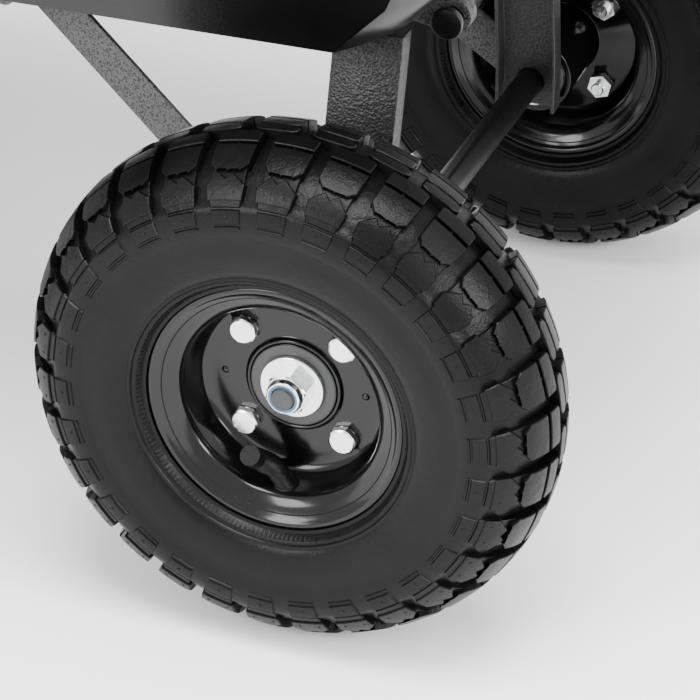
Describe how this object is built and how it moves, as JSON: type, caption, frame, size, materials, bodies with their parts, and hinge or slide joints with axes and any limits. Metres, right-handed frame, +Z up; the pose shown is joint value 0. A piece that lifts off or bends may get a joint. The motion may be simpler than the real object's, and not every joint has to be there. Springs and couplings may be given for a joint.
{
  "type": "tow behind cart",
  "caption": "Four-wheel garden dump cart: tilting polymer tub on a steel frame, pneumatic wheels, steered front carriage and a drawbar with folding grip and hitch pin.",
  "frame": {"origin": "on the floor, under the middle of the cart's overall box", "axes": "+Z up, -Y towing direction, +X the cart's left side"},
  "size_m": [0.511, 1.5244, 0.5245],
  "materials": {
    "tyre_rubber": "satin charcoal rubber",
    "stem_rubber": "matt black rubber",
    "rim_paint": "gloss black enamel",
    "bearing_steel": "ground steel",
    "zinc": "bright zinc plate",
    "frame_paint": "hammered dark grey powder coat",
    "axle_paint": "satin black paint",
    "tub_plastic": "semi-gloss moulded polyethylene",
    "grip_rubber": "soft black grip"
  },
  "bodies": {
    "chassis": {"side_rails": "frame_paint", "cross_members": "frame_paint", "rear_legs": "frame_paint", "rear_braces": "frame_paint", "rear_axle": "axle_paint", "rear_axle_washers": "zinc", "rear_axle_nuts": "zinc", "hinge_pin": "zinc", "latch_pin": "zinc", "turntable_plate": "frame_paint", "king_pin": "zinc"},
    "tub_body": {"tub": "tub_plastic", "tub_hinge_plates": "frame_paint", "tub_bolts": "zinc", "latch_striker": "frame_paint"},
    "latch": {"latch_lever": "frame_paint"},
    "front_carriage": {"front_beam": "frame_paint", "front_legs": "frame_paint", "steering_yoke": "frame_paint", "front_axle": "axle_paint", "front_axle_washers": "zinc", "front_axle_nuts": "zinc", "drawbar_pin": "zinc"},
    "drawbar_body": {"drawbar": "frame_paint", "bail_pin": "zinc"},
    "grip": {"grip_bail": "frame_paint", "handle_grip": "grip_rubber"},
    "hitch_pin_body": {"hitch_pin": "zinc"},
    "rear_left_wheel": {"rear_left_tyre": "tyre_rubber", "rear_left_inner_tube": "stem_rubber", "rear_left_outer_rim": "rim_paint", "rear_left_inner_rim": "rim_paint", "rear_left_hub": "rim_paint", "rear_left_bearings": "bearing_steel", "rear_left_rim_bolts": "zinc", "rear_left_rim_nuts": "zinc"},
    "rear_right_wheel": {"rear_right_tyre": "tyre_rubber", "rear_right_inner_tube": "stem_rubber", "rear_right_outer_rim": "rim_paint", "rear_right_inner_rim": "rim_paint", "rear_right_hub": "rim_paint", "rear_right_bearings": "bearing_steel", "rear_right_rim_bolts": "zinc", "rear_right_rim_nuts": "zinc"},
    "front_left_wheel": {"front_left_tyre": "tyre_rubber", "front_left_inner_tube": "stem_rubber", "front_left_outer_rim": "rim_paint", "front_left_inner_rim": "rim_paint", "front_left_hub": "rim_paint", "front_left_bearings": "bearing_steel", "front_left_rim_bolts": "zinc", "front_left_rim_nuts": "zinc"},
    "front_right_wheel": {"front_right_tyre": "tyre_rubber", "front_right_inner_tube": "stem_rubber", "front_right_outer_rim": "rim_paint", "front_right_inner_rim": "rim_paint", "front_right_hub": "rim_paint", "front_right_bearings": "bearing_steel", "front_right_rim_bolts": "zinc", "front_right_rim_nuts": "zinc"}
  },
  "joints": [
    {"name": "rear_left_wheel_spin", "type": "hinge", "parent": "chassis", "child": "rear_left_wheel", "pos_m": [0.215, 0.59113, 0.1325], "axis": [1, 0, 0], "continuous": true},
    {"name": "rear_right_wheel_spin", "type": "hinge", "parent": "chassis", "child": "rear_right_wheel", "pos_m": [-0.215, 0.59113, 0.1325], "axis": [1, 0, 0], "continuous": true},
    {"name": "front_left_wheel_spin", "type": "hinge", "parent": "front_carriage", "child": "front_left_wheel", "pos_m": [0.215, 0.00113, 0.1325], "axis": [1, 0, 0], "continuous": true},
    {"name": "front_right_wheel_spin", "type": "hinge", "parent": "front_carriage", "child": "front_right_wheel", "pos_m": [-0.215, 0.00113, 0.1325], "axis": [1, 0, 0], "continuous": true},
    {"name": "tub_dump", "type": "hinge", "parent": "chassis", "child": "tub_body", "pos_m": [0, 0.61913, 0.268], "axis": [-1, 0, 0], "range_deg": [0, 65]},
    {"name": "latch_close", "type": "hinge", "parent": "chassis", "child": "latch", "pos_m": [0, -0.07087, 0.262], "axis": [-1, 0, 0], "range_deg": [0, 32]},
    {"name": "steering", "type": "hinge", "parent": "chassis", "child": "front_carriage", "pos_m": [0, 0.00113, 0.2671], "axis": [0, 0, 1], "range_deg": [-35, 35]},
    {"name": "drawbar_lift", "type": "hinge", "parent": "front_carriage", "child": "drawbar_body", "pos_m": [0, -0.07687, 0.1545], "axis": [-1, 0, 0], "range_deg": [0, 65]},
    {"name": "grip_fold", "type": "hinge", "parent": "drawbar_body", "child": "grip", "pos_m": [0, -0.5611, 0.07917], "axis": [-1, 0, 0], "range_deg": [0, 160]},
    {"name": "hitch_pin_pull", "type": "slide", "parent": "drawbar_body", "child": "hitch_pin_body", "axis": [0, -0.1392, 0.9903], "range_m": [0, 0.06]}
  ]
}
